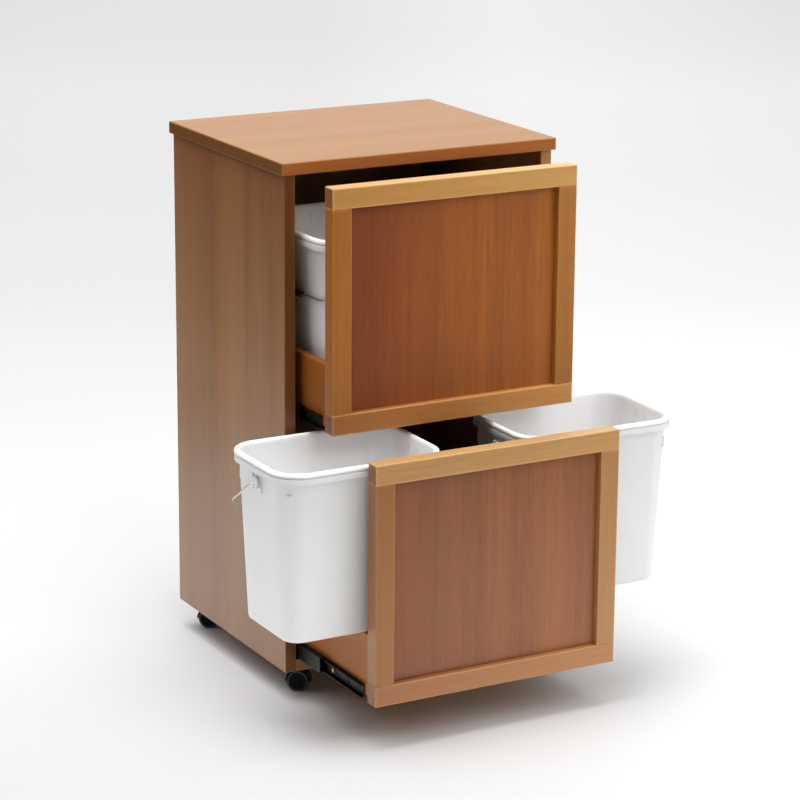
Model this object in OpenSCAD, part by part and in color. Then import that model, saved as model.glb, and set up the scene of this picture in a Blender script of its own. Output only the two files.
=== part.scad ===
// Recycling bin cabinet: a case on four castors with two drawers that carry four pails.
// X is the width, Y runs from the front to the back, and Z is up from the floor.
// The case is sized by what it holds: its pails set the width and height, its runners the depth.

/* [Case] */
// Thickness of the top, the sides and the bottom board
board_t = 18; // [15:0.5:22]
// How far the top stands out over the case all round
top_overhang = 5; // [0:1:15]
// Thickness of the back panel
back_t = 5.5; // [3:0.5:9]
// Wood left behind the back panel's groove
back_inset = 8; // [5:1:14]
// Depth of the back panel's grooves
back_groove = 6; // [4:0.5:8]
// Diameter of the case dowels
dowel_d = 8; // [6:1:10]
// Length of the case dowels
dowel_l = 28; // [20:1:34]

/* [Drawer fronts] */
// Thickness of the front frames
front_t = 24; // [20:1:30]
// Width of the rails and stiles
frame_w = 30; // [24:1:40]
// Thickness of the framed panel
panel_t = 6; // [4:0.5:8]
// How far the panel's face lies behind the frame's face
panel_recess = 10; // [6:0.5:12]
// How far the panel enters the frame's grooves
panel_tongue = 8; // [5:0.5:10]
// Gap between a front and each side panel
side_gap = 4; // [2:0.5:6]
// Gap between the upper front and the top
top_gap = 2; // [1.5:0.5:6]
// Gap between the two fronts
middle_gap = 8; // [4:0.5:12]
// Gap between the lower front and the bottom board
bottom_gap = 6; // [6:0.5:12]

/* [Drawer boxes] */
// Thickness of the box sides, front and back
box_t = 12; // [10:0.5:15]
// Height of the box sides
box_h = 91; // [80:1:120]
// Height of the box above the lower edge of its front
box_lift = 4; // [2:0.5:6]
// Thickness of the box floor
floor_t = 5.5; // [3:0.5:9]
// Height of the floor above the lower edge of the box sides
floor_lift = 6.5; // [5:0.5:10]
// Depth of the grooves that hold the floor
floor_groove = 5; // [3:0.5:7]
// How far the box reaches past the back end of its runners
box_past_runner = 2; // [0:0.5:6]

/* [Runners] */
// Length of each runner member
runner_l = 300; // [280:5:400]
// Setback of the closed runners behind the front edge of the case
runner_setback = 47; // [40:1:60]
// Room behind the closed runners
runner_back_room = 9.5; // [6:0.5:20]
// Space for a runner between the box and the side panel
runner_gap = 12.7; // [12:0.1:14]
// Height of the cabinet member
runner_h = 27; // [25:0.5:29]
// Height of the runner's middle line above the lower edge of the front
runner_mid = 8.6; // [8:0.2:11]
// Thickness of the runner steel
runner_t = 1.5; // [1:0.1:1.8]
// Running clearance between two nested members
runner_play = 0.4; // [0.3:0.05:0.6]

/* [Drawers as they stand] */
// How far the upper drawer stands open
upper_out = 107; // [0:1:280]
// Room between the case and a handle that swings out behind a pail
handle_room = 1.1; // [1:0.1:40]

/* [Pails] */
// Length over the rim
pail_l = 264; // [240:1:275]
// Width over the rim
pail_w = 188; // [170:1:200]
// Height
pail_h = 252; // [220:1:280]
// Corner radius of the rim
pail_r = 46; // [38:1:56]
// Wall thickness
pail_wall = 2.2; // [1.6:0.1:3]
// Height of the rolled rim
rim_h = 6.4; // [5:0.2:9]
// Height of the band under the rim
band_h = 9.6; // [7:0.2:14]
// How far the rim stands out from the wall below it
rim_reach = 7; // [6.4:0.2:12]
// How much further in the wall is at the bottom
pail_taper = 12; // [3:0.5:14]
// Gap between two pails side by side
pail_gap = 1; // [0.6:0.1:6]
// Room between a stored pail and the side panel
pail_side_room = 13.5; // [13:0.5:20]
// Room between a stored pail and the box front
pail_front_room = 3; // [2:0.5:14]
// Room between the left pail standing across the drawer and the front
left_across_room = 5; // [2:0.5:14]
// Room between the right pail standing across the drawer and the front
right_across_room = 8; // [2:0.5:14]
// Distance from the middle to a pail standing across the drawer
across_inner = 63; // [20:1:100]
// Height left over a pail standing across the drawer
pail_headroom = 15; // [12:1:30]

/* [Handles] */
// Wire diameter
wire_d = 3.2; // [2.5:0.1:4]
// Distance of the wire from its pivots
handle_reach = 102; // [97.5:0.1:103]
// Extra reach of the middle, where the grip sits
handle_step = 3; // [1:0.5:3.4]
// Bend radius of the handle's corners
handle_bend = 46; // [12:1:50]
// Grip diameter
grip_d = 9; // [8:0.5:9.6]
// Grip length
grip_l = 90; // [70:1:110]
// Depth of the pivots under the rim
pivot_depth = 33; // [28:0.5:38]
// Diameter of the ear around each pivot
ear_d = 18; // [12:0.5:19]
// Gap between a hanging grip and the pail's wall
hang_gap = 0.4; // [0.3:0.1:3]

/* [Castors] */
// Radius of the wheels
wheel_r = 16.5; // [14:0.5:22]
// Width of one wheel
wheel_w = 8; // [6:0.5:10]
// Thickness of the housing between the two wheels
web_t = 4; // [3:0.5:6]
// Offset of the axle from the swivel axis
trail = 7; // [4:0.5:10]
// Distance of the swivel axes from the sides of the case
castor_side_inset = 45; // [42:1:70]
// Distance of the swivel axes from the front and back of the case
castor_end_inset = 31; // [28:1:60]
// Angle between the wheels' axles and the depth of the case
castor_turn = 35; // [0:5:90]
// Width of the square fixing plate
plate_w = 38; // [34:1:50]
// Thickness of the fixing plate
plate_t = 2; // [1.5:0.5:3]
// Height of the neck between hood and plate
neck_h = 6.7; // [5:0.1:12]
// Diameter of the axle
axle_d = 5; // [4:0.5:6]

/* [Hidden] */
$fn = 64;

// Running clearance of a pin in its bore, and the fit of a joint in wood
pin_play = 0.06;
joint_play = 0.1;
// Chamfer along the edges of the boards
ease = 0.8;

// Castors
hood_play = 0.8;
hood_t = 1.5;
wheel_play = 0.5;
hood_r = wheel_r + hood_play + hood_t;
castor_h = wheel_r + hood_r + neck_h + plate_t;
castor_w = web_t + 2 * (wheel_w + wheel_play);
stem_r = 4;
swivel_play = 0.3;
plate_hole = plate_w / 2 - 5;

// Widths: two pails side by side, with room for the runners and the handles
inner_w = 2 * pail_w + pail_gap + 2 * pail_side_room;
case_w = inner_w + 2 * board_t;
front_w = inner_w - 2 * side_gap;
box_w = inner_w - 2 * runner_gap;

// Depths: the runners, and the back panel in its groove
case_d = runner_setback + runner_l + runner_back_room + back_t + back_inset;
box_d = runner_setback + runner_l - front_t + box_past_runner;

// Heights: a front is as tall as a box side, a pail on it and some headroom
front_h = box_lift + box_h + pail_h + pail_headroom - middle_gap;
case_z = castor_h;
opening_z = case_z + board_t;
lower_z = opening_z + bottom_gap;
upper_z = lower_z + front_h + middle_gap;
top_z = upper_z + front_h + top_gap;
floor_top = box_lift + floor_lift + floor_t;

// Handles, pails and the lower drawer's opening
pail_bottom_inset = rim_reach + pail_taper;
stored_setback = front_t + box_t + pail_front_room;
across_setback = front_t + max(left_across_room, right_across_room);
handle_end = pail_l / 2 + wire_d / 2 + 1.5;
grip_reach = handle_reach + handle_step;
function wall_y(depth) = pail_w / 2 - rim_reach - pail_taper * depth / pail_h;
function hang_slope(guess) =
    acos((wall_y(pivot_depth + grip_reach * sin(guess)) + grip_d / 2 + hang_gap) / grip_reach);
handle_hang = hang_slope(hang_slope(hang_slope(33)));
lower_out = across_setback + pail_w / 2 + grip_reach + grip_d / 2 + handle_room;
stored_x = (pail_w + pail_gap) / 2;
across_x = across_inner + pail_l / 2;

// The model's middle in Y lies under the middle of everything, with the drawers open
front_y = (lower_out - case_d - top_overhang) / 2;
stored_y = front_y - upper_out + stored_setback + pail_l / 2;

function across_y(s) = front_y - lower_out + front_t + pail_w / 2
    + (s < 0 ? left_across_room : right_across_room);

upper_pail_z = upper_z + floor_top;
lower_pail_z = lower_z + box_lift + box_h;

// Screws
shank_d = 3.2;
head_d = 6.6;
head_h = 1.7;
runner_screw_end = 20;
runner_screws = [92, 185, runner_l - runner_screw_end];
cabinet_screw_end = 40;
runner_holes = [45, 79];
hole_d = 6;
corner_screw_l = 28;
corner_screw_room = 15;
corner_screws = [floor_lift + floor_t + corner_screw_l, box_h - corner_screw_room];
front_screw_z = floor_top + head_d / 2 + head_h;
screw_stop = 2;
front_screw_l = box_t + front_t - panel_recess - panel_t - screw_stop;
bore_over = 20;
runner_screw_l = 7.5;
panel_screw_l = 12;

wood = "peru";
panel_wood = "sienna";
case_wood = "tan";
steel = "dimgray";
plastic = "white";
black = "#1c1c1c";

// Basic shapes

module eased_rect(a, b, e) {
    polygon([[e, 0], [a - e, 0], [a, e], [a, b - e], [a - e, b], [e, b], [0, b - e], [0, e]]);
}

// A board with a small chamfer along all its edges
module eased_box(size, e = ease) {
    intersection() {
        linear_extrude(size.z) eased_rect(size.x, size.y, e);
        translate([0, size.y, 0]) rotate([90, 0, 0]) linear_extrude(size.y) eased_rect(size.x, size.z, e);
        rotate([90, 0, 90]) linear_extrude(size.x) eased_rect(size.y, size.z, e);
    }
}

module round_rect(l, w, r) {
    square([l - 2 * r, w], center = true);
    square([l, w - 2 * r], center = true);
    for (x = [-1, 1], y = [-1, 1]) translate([x * (l / 2 - r), y * (w / 2 - r)]) circle(r);
}

module mirror_copy(v = [1, 0, 0]) {
    children();
    mirror(v) children();
}

// A screw standing on its head's underside, with its point down
module pan_screw(l) {
    cylinder(d = head_d, h = head_h);
    translate([0, 0, -l]) cylinder(d = shank_d, h = l + 0.1);
}

module screw_bore(l) {
    translate([0, 0, -l - 0.3]) cylinder(d = shank_d + 2 * joint_play, h = l + bore_over);
}

// Case

front_dowel = 62;
back_dowel = 66;
dowel_y = [front_dowel, case_d / 2, case_d - back_dowel];
side_mid = inner_w / 2 + board_t / 2;
top_dowel = dowel_l / 2 - 3;

module top_dowels(play = 0) {
    for (x = [-side_mid, side_mid], y = dowel_y)
        translate([x, front_y + y, top_z + top_dowel - dowel_l - play])
            cylinder(d = dowel_d + 2 * play, h = dowel_l + 2 * play);
}

module bottom_dowels(play = 0) {
    for (s = [-1, 1], y = dowel_y)
        translate([s * (inner_w / 2 + top_dowel + play), front_y + y, case_z + board_t / 2])
            rotate([0, -90 * s, 0]) cylinder(d = dowel_d + 2 * play, h = dowel_l + 2 * play);
}

module back_space(play) {
    translate([-inner_w / 2 - back_groove, front_y + case_d - back_inset - back_t - play,
        case_z + board_t - back_groove])
        cube([inner_w + 2 * back_groove, back_t + 2 * play, top_z - opening_z + 2 * back_groove]);
}

module top_board() {
    color(case_wood) difference() {
        translate([-case_w / 2 - top_overhang, front_y - top_overhang, top_z])
            eased_box([case_w + 2 * top_overhang, case_d + 2 * top_overhang, board_t], 1.2);
        top_dowels(joint_play);
        back_space(joint_play);
    }
}

module side_panel(s) {
    color(case_wood) difference() {
        translate([s > 0 ? inner_w / 2 : -inner_w / 2 - board_t, front_y, case_z])
            eased_box([board_t, case_d, top_z - case_z]);
        top_dowels(joint_play);
        bottom_dowels(joint_play);
        back_space(joint_play);
        cabinet_runner_screws() screw_bore(panel_screw_l);
    }
}

module bottom_board() {
    color(case_wood) difference() {
        translate([-inner_w / 2, front_y, case_z]) cube([inner_w, case_d, board_t]);
        bottom_dowels(joint_play);
        back_space(joint_play);
        plate_screws() screw_bore(panel_screw_l);
    }
}

module back_panel() {
    color(case_wood) translate([-inner_w / 2 - back_groove + joint_play,
        front_y + case_d - back_inset - back_t, case_z + board_t - back_groove + joint_play])
        cube([inner_w + 2 * (back_groove - joint_play), back_t,
            top_z - opening_z + 2 * (back_groove - joint_play)]);
}

module case_dowels() {
    color("burlywood") {
        top_dowels();
        bottom_dowels();
    }
}

// Runners: the profile of each member is a channel on its side, open towards its partner

module channel(x0, x1, h, l) {
    // A web at x0 with two lips that reach to x1
    web = x1 > x0 ? x0 : x0 - runner_t;
    translate([web, 0, -h / 2]) cube([runner_t, l, h]);
    for (z = [-h / 2, h / 2 - runner_t])
        translate([min(x0, x1), 0, z]) cube([abs(x1 - x0), l, runner_t]);
}

middle_h = runner_h - 2 * (runner_t + runner_play);
slim_h = middle_h - 2 * (runner_t + runner_play);
lip_room = 1.6;

module member_place(z, out) {
    mirror_copy() translate([0, front_y + runner_setback - out, z + runner_mid]) children();
}

module cabinet_runners(z) {
    color(steel) difference() {
        member_place(z, 0) channel(inner_w / 2, box_w / 2 + lip_room, runner_h, runner_l);
        cabinet_runner_screws() {
            screw_bore(panel_screw_l);
            cylinder(d = head_d + 2 * joint_play, h = runner_t);
        }
    }
}

module middle_runners(z, out) {
    web_x = inner_w / 2 - runner_t - runner_play;
    color(steel) member_place(z, out / 2) channel(web_x, box_w / 2 + lip_room, middle_h, runner_l);
}

module drawer_runners(z, out) {
    color(steel) difference() {
        member_place(z, out)
            channel(box_w / 2, inner_w / 2 - 2 * (runner_t + runner_play) - lip_room, slim_h, runner_l);
        runner_screw_place(z, out) screw_bore(runner_screw_l);
        member_place(z, out) for (y = runner_holes) translate([box_w / 2 - 1, y, 0])
            rotate([0, 90, 0]) cylinder(d = hole_d, h = runner_t + 2);
    }
}

module runner_screw_place(z, out) {
    member_place(z, out) for (y = runner_screws)
        translate([box_w / 2 + runner_t, y, 0]) rotate([0, 90, 0]) children();
}

// The cabinet members' screws have thin heads that lie flush in the web
module cabinet_runner_screws() {
    for (z = [lower_z, upper_z]) member_place(z, 0) for (y = [cabinet_screw_end, runner_l / 2, runner_l - cabinet_screw_end])
        translate([inner_w / 2 - runner_t / 2, y, 0]) rotate([0, -90, 0]) children();
}

module flush_screw(l) {
    cylinder(d = head_d, h = runner_t / 2);
    translate([0, 0, -l]) cylinder(d = shank_d, h = l + 0.1);
}

module fixing_screws() {
    color("silver") {
        cabinet_runner_screws() flush_screw(panel_screw_l);
        plate_screws() pan_screw(panel_screw_l);
    }
}

// Drawer fronts: full-width rails, stiles between them with stub tenons, and a panel in grooves

groove_y = panel_recess;
tenon_l = 8;
tenon_in = panel_tongue + 1.5;
tenon_out = 6;

module front_place(z, out) {
    translate([-front_w / 2, front_y - out, z]) children();
}

module panel_groove(play) {
    translate([frame_w - panel_tongue - play, groove_y - play, frame_w - panel_tongue - play])
        cube([front_w - 2 * (frame_w - panel_tongue - play), panel_t + 2 * play,
            front_h - 2 * (frame_w - panel_tongue - play)]);
}

module tenon(play) {
    translate([tenon_in - play, groove_y - play, -tenon_l - play])
        cube([frame_w - tenon_in - tenon_out + 2 * play, panel_t + 2 * play, tenon_l + 1 + play]);
}

// The tenons of a stile, drawn for the right one
module stile_tenons(play) {
    translate([front_w - frame_w, 0, frame_w]) tenon(play);
    translate([front_w - frame_w, 0, front_h - frame_w]) mirror([0, 0, 1]) tenon(play);
}

module both_tenons(play) {
    stile_tenons(play);
    translate([front_w, 0, 0]) mirror([1, 0, 0]) stile_tenons(play);
}

module rail(z, out, at) {
    color(wood) front_place(z, out) difference() {
        translate([0, 0, at]) eased_box([front_w, front_t, frame_w], 1);
        panel_groove(joint_play);
        both_tenons(joint_play);
        front_screws() screw_bore(front_screw_l);
    }
}

module stile(z, out, side) {
    color(wood) front_place(z, out) translate([side < 0 ? front_w : 0, 0, 0])
        mirror([side < 0 ? 1 : 0, 0, 0]) {
            difference() {
                translate([front_w - frame_w, 0, frame_w])
                    eased_box([frame_w, front_t, front_h - 2 * frame_w], 1);
                panel_groove(joint_play);
            }
            stile_tenons(0);
        }
}

module front_panel(z, out) {
    color(panel_wood) front_place(z, out) panel_groove(0);
}

// Drawer boxes

module box_place(z, out) {
    translate([-box_w / 2, front_y - out + front_t, z + box_lift]) children();
}

module box_floor_space(play) {
    translate([box_t - floor_groove - play, box_t - floor_groove - play, floor_lift - play])
        cube([box_w - 2 * (box_t - floor_groove - play), box_d - 2 * (box_t - floor_groove - play),
            floor_t + 2 * play]);
}

module corner_screw_place() {
    for (s = [0, 1], y = [box_t / 2, box_d - box_t / 2], z = corner_screws)
        translate([s * box_w, y, z]) mirror([1 - s, 0, 0]) rotate([0, 90, 0]) children();
}

// Countersunk screws that join the box corners, flush with the box sides
module sunk_screw(l, play = 0) {
    translate([0, 0, -2.6 - play]) cylinder(d1 = shank_d, d2 = head_d + 2 * play, h = 2.6 + play);
    translate([0, 0, -l - play]) cylinder(d = shank_d + 2 * play, h = l);
}

module box_side(z, out, side) {
    color(wood) difference() {
        box_place(z, out) difference() {
            translate([side > 0 ? box_w - box_t : 0, 0, 0]) eased_box([box_t, box_d, box_h]);
            box_floor_space(joint_play);
            corner_screw_place() sunk_screw(corner_screw_l, joint_play);
        }
        runner_screw_place(z, out) screw_bore(runner_screw_l);
    }
}

module box_end(z, out, y) {
    color(wood) difference() {
        box_place(z, out) difference() {
            translate([box_t, y, 0]) cube([box_w - 2 * box_t, box_t, box_h]);
            box_floor_space(joint_play);
            corner_screw_place() sunk_screw(corner_screw_l, joint_play);
        }
        front_place(z, out) front_screws() screw_bore(front_screw_l);
    }
}

module box_floor(z, out) {
    color("burlywood") box_place(z, out) box_floor_space(0);
}

// Screws through the box front into the lower rail of the drawer front
module front_screws() {
    for (x = [0.12, 0.38, 0.62, 0.88] * front_w)
        translate([x, front_t + box_t, front_screw_z]) rotate([-90, 0, 0]) children();
}

module drawer_screws(z, out) {
    color("silver") {
        box_place(z, out) corner_screw_place() sunk_screw(corner_screw_l);
        front_place(z, out) front_screws() pan_screw(front_screw_l);
        runner_screw_place(z, out) pan_screw(runner_screw_l);
    }
}

// Pails, drawn with their length along X and standing on the XY plane

module pail_slab(inset, z, h = 0.01) {
    translate([0, 0, z]) linear_extrude(h)
        round_rect(pail_l - 2 * inset, pail_w - 2 * inset, pail_r - inset);
}

// The rim, its band and the ribs are rings of straight wall
module pail_ring(inset, width, z, h) {
    difference() {
        pail_slab(inset, z, h);
        pail_slab(inset + width, z - 1, h + 2);
    }
}

foot_chamfer = 5;
foot_w = 12;
foot_h = 1.2;
rim_z = pail_h - rim_h;
band_z = rim_z - 1 - band_h;
rib_h = 20;
rib_w = 5;
wall_in = rim_reach + pail_wall;
ear_in = rim_reach + pail_taper * pivot_depth / pail_h + pail_wall / 2;

module pail_outside() {
    hull() {
        pail_slab(pail_bottom_inset + foot_chamfer, 0);
        pail_slab(pail_bottom_inset, foot_chamfer);
        pail_slab(rim_reach, pail_h - 0.01);
    }
}

module pail_inside() {
    hull() {
        pail_slab(pail_bottom_inset + foot_chamfer + pail_wall, pail_wall);
        pail_slab(pail_bottom_inset + pail_wall, pail_wall + foot_chamfer);
        pail_slab(wall_in, pail_h + 1);
    }
}

// Four ribs under the band, one across each corner, on which nested pails stand
module pail_ribs() {
    corner = pail_r * (1 - sin(45));
    for (x = [-1, 1], y = [-1, 1])
        translate([x * (pail_l / 2 - corner), y * (pail_w / 2 - corner), band_z - rib_h])
            rotate(x * y > 0 ? 45 : -45)
                translate([x * (-rim_reach - pail_wall / 2), 0, (rib_h + 2) / 2])
                    cube([2 * (rim_reach - 4) - pail_wall, rib_w, rib_h + 2], center = true);
}

module pail_shape() {
    difference() {
        union() {
            pail_outside();
            pail_slab(0, rim_z, rim_h);
            pail_slab(1.6, rim_z - 1.1, 1.2);
            pail_ring(0.6, pail_wall, band_z, band_h);
            pail_slab(0.6, rim_z - 1 - pail_wall, pail_wall);
            pail_ribs();
            mirror_copy() translate([pail_l / 2 - ear_in, 0, pail_h - pivot_depth])
                rotate([0, 90, 0]) cylinder(d = ear_d, h = ear_in - 2);
        }
        pail_inside();
        mirror_copy() translate([pail_l / 2 - rim_reach, 0, pail_h - pivot_depth])
            rotate([0, 90, 0]) cylinder(d = wire_d + 2 * pin_play, h = rim_reach + 1);
        pail_slab(pail_bottom_inset + foot_w, -1, foot_h + 1);
    }
}

module stored_pail(s) {
    translate([s * stored_x, stored_y, upper_pail_z]) rotate(90) children();
}

module across_pail(s) {
    translate([s * across_x, across_y(s), lower_pail_z]) children();
}

// A handle hangs on the side that Y points to

module bend(r, a) {
    rotate_extrude(angle = a) translate([r, 0]) circle(d = wire_d, $fn = 24);
}

module wire(l) {
    rotate([0, 90, 0]) cylinder(d = wire_d, h = l, $fn = 24);
}

pin_r = 5;
step_run = 12;
step_angle = atan(handle_step / step_run);
step_l = norm([handle_step, step_run]);

// The middle of a handle steps out to the grip
module handle_middle() {
    step_x = grip_l / 2 + 3;
    past = 0.3;
    translate([-step_x - past, grip_reach, 0]) wire(2 * (step_x + past));
    translate([step_x, grip_reach, 0]) rotate(-step_angle) translate([-past, 0, 0]) wire(step_l + 2 * past);
    translate([-step_x, grip_reach, 0]) rotate(180 + step_angle) translate([-past, 0, 0])
        wire(step_l + 2 * past);
}

// One arm of a handle in the XY plane: the pivots are on the X axis and the grip is at y = grip_reach
module handle_arm() {
    bend_x = handle_end - handle_bend;
    step_end = grip_l / 2 + 3 + step_run;
    pin_x = pail_l / 2 - rim_reach + 1;
    translate([pin_x, 0, 0]) wire(handle_end - pin_r - pin_x);
    translate([handle_end - pin_r, pin_r, 0]) rotate(-90) bend(pin_r, 90);
    translate([handle_end, pin_r, 0]) rotate(90) wire(handle_reach - pin_r - handle_bend);
    translate([bend_x, handle_reach - handle_bend, 0]) bend(handle_bend, 90);
    translate([step_end, handle_reach, 0]) wire(bend_x - step_end);
}

module handle_hung() {
    translate([0, 0, pail_h - pivot_depth]) rotate([-handle_hang, 0, 0]) children();
}

module handle_shape() {
    handle_hung() {
        mirror_copy() handle_arm();
        handle_middle();
    }
}

module grip_shape() {
    handle_hung() translate([-grip_l / 2, grip_reach, 0]) rotate([0, 90, 0]) difference() {
        cylinder(d = grip_d, h = grip_l);
        translate([0, 0, -1]) cylinder(d = wire_d + 2 * pin_play, h = grip_l + 2);
    }
}

// The stored pails' handles hang on their outer sides
module stored_handle(s) {
    stored_pail(s) mirror([0, s > 0 ? 1 : 0, 0]) children();
}

// Castors, drawn round the swivel axis with the wheels rolling along X

module castor_place(x, y) {
    translate([x * (case_w / 2 - castor_side_inset),
        front_y + (y < 0 ? castor_end_inset : case_d - castor_end_inset), 0])
        rotate(180 - castor_turn) children();
}

module plate_screws() {
    for (x = [-1, 1], y = [-1, 1]) castor_place(x, y) for (a = [45 : 90 : 315])
        rotate(castor_turn) translate([sign(cos(a)) * plate_hole, sign(sin(a)) * plate_hole, castor_h - plate_t])
            rotate([180, 0, 0]) children();
}

module castor_plates() {
    color(steel) difference() {
        for (x = [-1, 1], y = [-1, 1]) castor_place(x, y) rotate(castor_turn)
            translate([0, 0, castor_h - plate_t]) linear_extrude(plate_t) round_rect(plate_w, plate_w, 4);
        for (x = [-1, 1], y = [-1, 1]) castor_place(x, y)
            translate([0, 0, castor_h - plate_t - 1]) cylinder(r = stem_r + pin_play, h = plate_t + 2);
        plate_screws() screw_bore(panel_screw_l);
    }
}

module across_axle(r, w) {
    translate([trail, 0, wheel_r]) rotate([90, 0, 0]) cylinder(r = r, h = w, center = true);
}

module housing_shape() {
    neck_top = castor_h - plate_t - swivel_play;
    difference() {
        union() {
            difference() {
                across_axle(hood_r, castor_w);
                translate([-2 * hood_r, -castor_w, -hood_r])
                    cube([4 * hood_r, 2 * castor_w, hood_r + wheel_r - 1]);
            }
            across_axle(wheel_r - 3, web_t);
            translate([0, 0, wheel_r + 4]) cylinder(r = 9, h = neck_top - wheel_r - 4);
        }
        mirror_copy([0, 1, 0]) translate([0, web_t / 2 + (wheel_w + wheel_play) / 2 + 5, 0])
            across_axle(wheel_r + hood_play, wheel_w + wheel_play + 10);
        across_axle(axle_d / 2 + 0.02, castor_w);
    }
    translate([0, 0, neck_top - 1]) cylinder(r = stem_r, h = castor_h - 0.2 - neck_top + 1);
}

module axle_shape() {
    across_axle(axle_d / 2, castor_w - 3);
}

module wheels_shape() {
    mirror_copy([0, 1, 0]) difference() {
        translate([0, web_t / 2 + wheel_play + wheel_w / 2, 0]) {
            across_axle(wheel_r, wheel_w - 2);
            across_axle(wheel_r - 1, wheel_w);
        }
        translate([0, web_t / 2 + wheel_play + wheel_w, 0]) across_axle(wheel_r - 5, 1.6);
        translate([0, (castor_w - 3) / 4, 0]) across_axle(axle_d / 2 + pin_play, (castor_w - 3) / 2 + 0.6);
    }
}

top_board();
side_panel(-1);  // left_side_panel
side_panel(1);  // right_side_panel
bottom_board();
back_panel();
case_dowels();
fixing_screws();
cabinet_runners(upper_z);  // upper_cabinet_runners
cabinet_runners(lower_z);  // lower_cabinet_runners
middle_runners(upper_z, upper_out);  // upper_middle_runners
middle_runners(lower_z, lower_out);  // lower_middle_runners
drawer_runners(upper_z, upper_out);  // upper_drawer_runners
drawer_runners(lower_z, lower_out);  // lower_drawer_runners
rail(upper_z, upper_out, front_h - frame_w);  // upper_top_rail
rail(upper_z, upper_out, 0);  // upper_bottom_rail
stile(upper_z, upper_out, -1);  // upper_left_stile
stile(upper_z, upper_out, 1);  // upper_right_stile
front_panel(upper_z, upper_out);  // upper_panel
box_side(upper_z, upper_out, -1);  // upper_box_left
box_side(upper_z, upper_out, 1);  // upper_box_right
box_end(upper_z, upper_out, 0);  // upper_box_front
box_end(upper_z, upper_out, box_d - box_t);  // upper_box_back
box_floor(upper_z, upper_out);  // upper_box_floor
drawer_screws(upper_z, upper_out);  // upper_drawer_screws
rail(lower_z, lower_out, front_h - frame_w);  // lower_top_rail
rail(lower_z, lower_out, 0);  // lower_bottom_rail
stile(lower_z, lower_out, -1);  // lower_left_stile
stile(lower_z, lower_out, 1);  // lower_right_stile
front_panel(lower_z, lower_out);  // lower_panel
box_side(lower_z, lower_out, -1);  // lower_box_left
box_side(lower_z, lower_out, 1);  // lower_box_right
box_end(lower_z, lower_out, 0);  // lower_box_front
box_end(lower_z, lower_out, box_d - box_t);  // lower_box_back
box_floor(lower_z, lower_out);  // lower_box_floor
drawer_screws(lower_z, lower_out);  // lower_drawer_screws
color(plastic) stored_pail(-1) pail_shape();  // upper_left_pail
color(plastic) stored_pail(1) pail_shape();  // upper_right_pail
color(plastic) across_pail(-1) pail_shape();  // lower_left_pail
color(plastic) across_pail(1) pail_shape();  // lower_right_pail
color("silver") stored_handle(-1) handle_shape();  // upper_left_handle
color("silver") stored_handle(1) handle_shape();  // upper_right_handle
color("silver") across_pail(-1) handle_shape();  // lower_left_handle
color("silver") across_pail(1) handle_shape();  // lower_right_handle
color(black) stored_handle(-1) grip_shape();  // upper_left_grip
color(black) stored_handle(1) grip_shape();  // upper_right_grip
color(black) across_pail(-1) grip_shape();  // lower_left_grip
color(black) across_pail(1) grip_shape();  // lower_right_grip
castor_plates();
color(black) castor_place(-1, -1) housing_shape();  // front_left_housing
color(black) castor_place(1, -1) housing_shape();  // front_right_housing
color(black) castor_place(-1, 1) housing_shape();  // back_left_housing
color(black) castor_place(1, 1) housing_shape();  // back_right_housing
color(steel) castor_place(-1, -1) axle_shape();  // front_left_axle
color(steel) castor_place(1, -1) axle_shape();  // front_right_axle
color(steel) castor_place(-1, 1) axle_shape();  // back_left_axle
color(steel) castor_place(1, 1) axle_shape();  // back_right_axle
color(black) castor_place(-1, -1) wheels_shape();  // front_left_wheels
color(black) castor_place(1, -1) wheels_shape();  // front_right_wheels
color(black) castor_place(-1, 1) wheels_shape();  // back_left_wheels
color(black) castor_place(1, 1) wheels_shape();  // back_right_wheels
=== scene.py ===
import math
import bmesh
import bpy
from mathutils import Matrix, Vector


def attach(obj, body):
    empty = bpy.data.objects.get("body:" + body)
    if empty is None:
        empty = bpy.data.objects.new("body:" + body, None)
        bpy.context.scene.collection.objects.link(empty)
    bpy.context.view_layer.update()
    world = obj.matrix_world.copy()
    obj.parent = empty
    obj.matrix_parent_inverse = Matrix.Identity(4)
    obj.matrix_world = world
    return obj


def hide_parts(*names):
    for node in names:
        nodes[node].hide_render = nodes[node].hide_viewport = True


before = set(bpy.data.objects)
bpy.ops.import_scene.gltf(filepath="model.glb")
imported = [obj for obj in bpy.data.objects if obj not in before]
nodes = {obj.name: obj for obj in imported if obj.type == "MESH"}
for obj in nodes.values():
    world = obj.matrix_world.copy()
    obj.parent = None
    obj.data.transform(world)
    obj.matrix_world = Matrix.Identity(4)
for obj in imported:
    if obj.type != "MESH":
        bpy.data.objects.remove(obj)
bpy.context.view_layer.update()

scene = bpy.context.scene

# Places that several pieces share, in metres
caseFront = -0.0692
caseDepth = 0.37
caseWidth = 0.44

# Camera, solved from the straight edges of the case
view = {"place": (-2.0063, -3.6377, 1.5743), "yaw": 0.5055157, "pitch": 0.2721353, "roll": 0.0074725,
        "lens": 130.397}


def makeCamera(s):
    forward = Vector((math.sin(s["yaw"]) * math.cos(s["pitch"]), math.cos(s["yaw"]) * math.cos(s["pitch"]),
                      -math.sin(s["pitch"])))
    right = Vector((math.cos(s["yaw"]), -math.sin(s["yaw"]), 0))
    up = right.cross(forward)
    tiltedRight = right * math.cos(s["roll"]) + up * math.sin(s["roll"])
    tiltedUp = up * math.cos(s["roll"]) - right * math.sin(s["roll"])
    data = bpy.data.cameras.new("camera")
    data.lens = s["lens"]
    data.sensor_width = 36
    data.clip_end = 100
    obj = bpy.data.objects.new("camera", data)
    turn = Matrix((tiltedRight, tiltedUp, -forward)).transposed().to_4x4()
    obj.matrix_world = Matrix.Translation(s["place"]) @ turn
    scene.collection.objects.link(obj)
    scene.camera = obj


makeCamera(view)
scene.view_settings.view_transform = "Standard"


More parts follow.
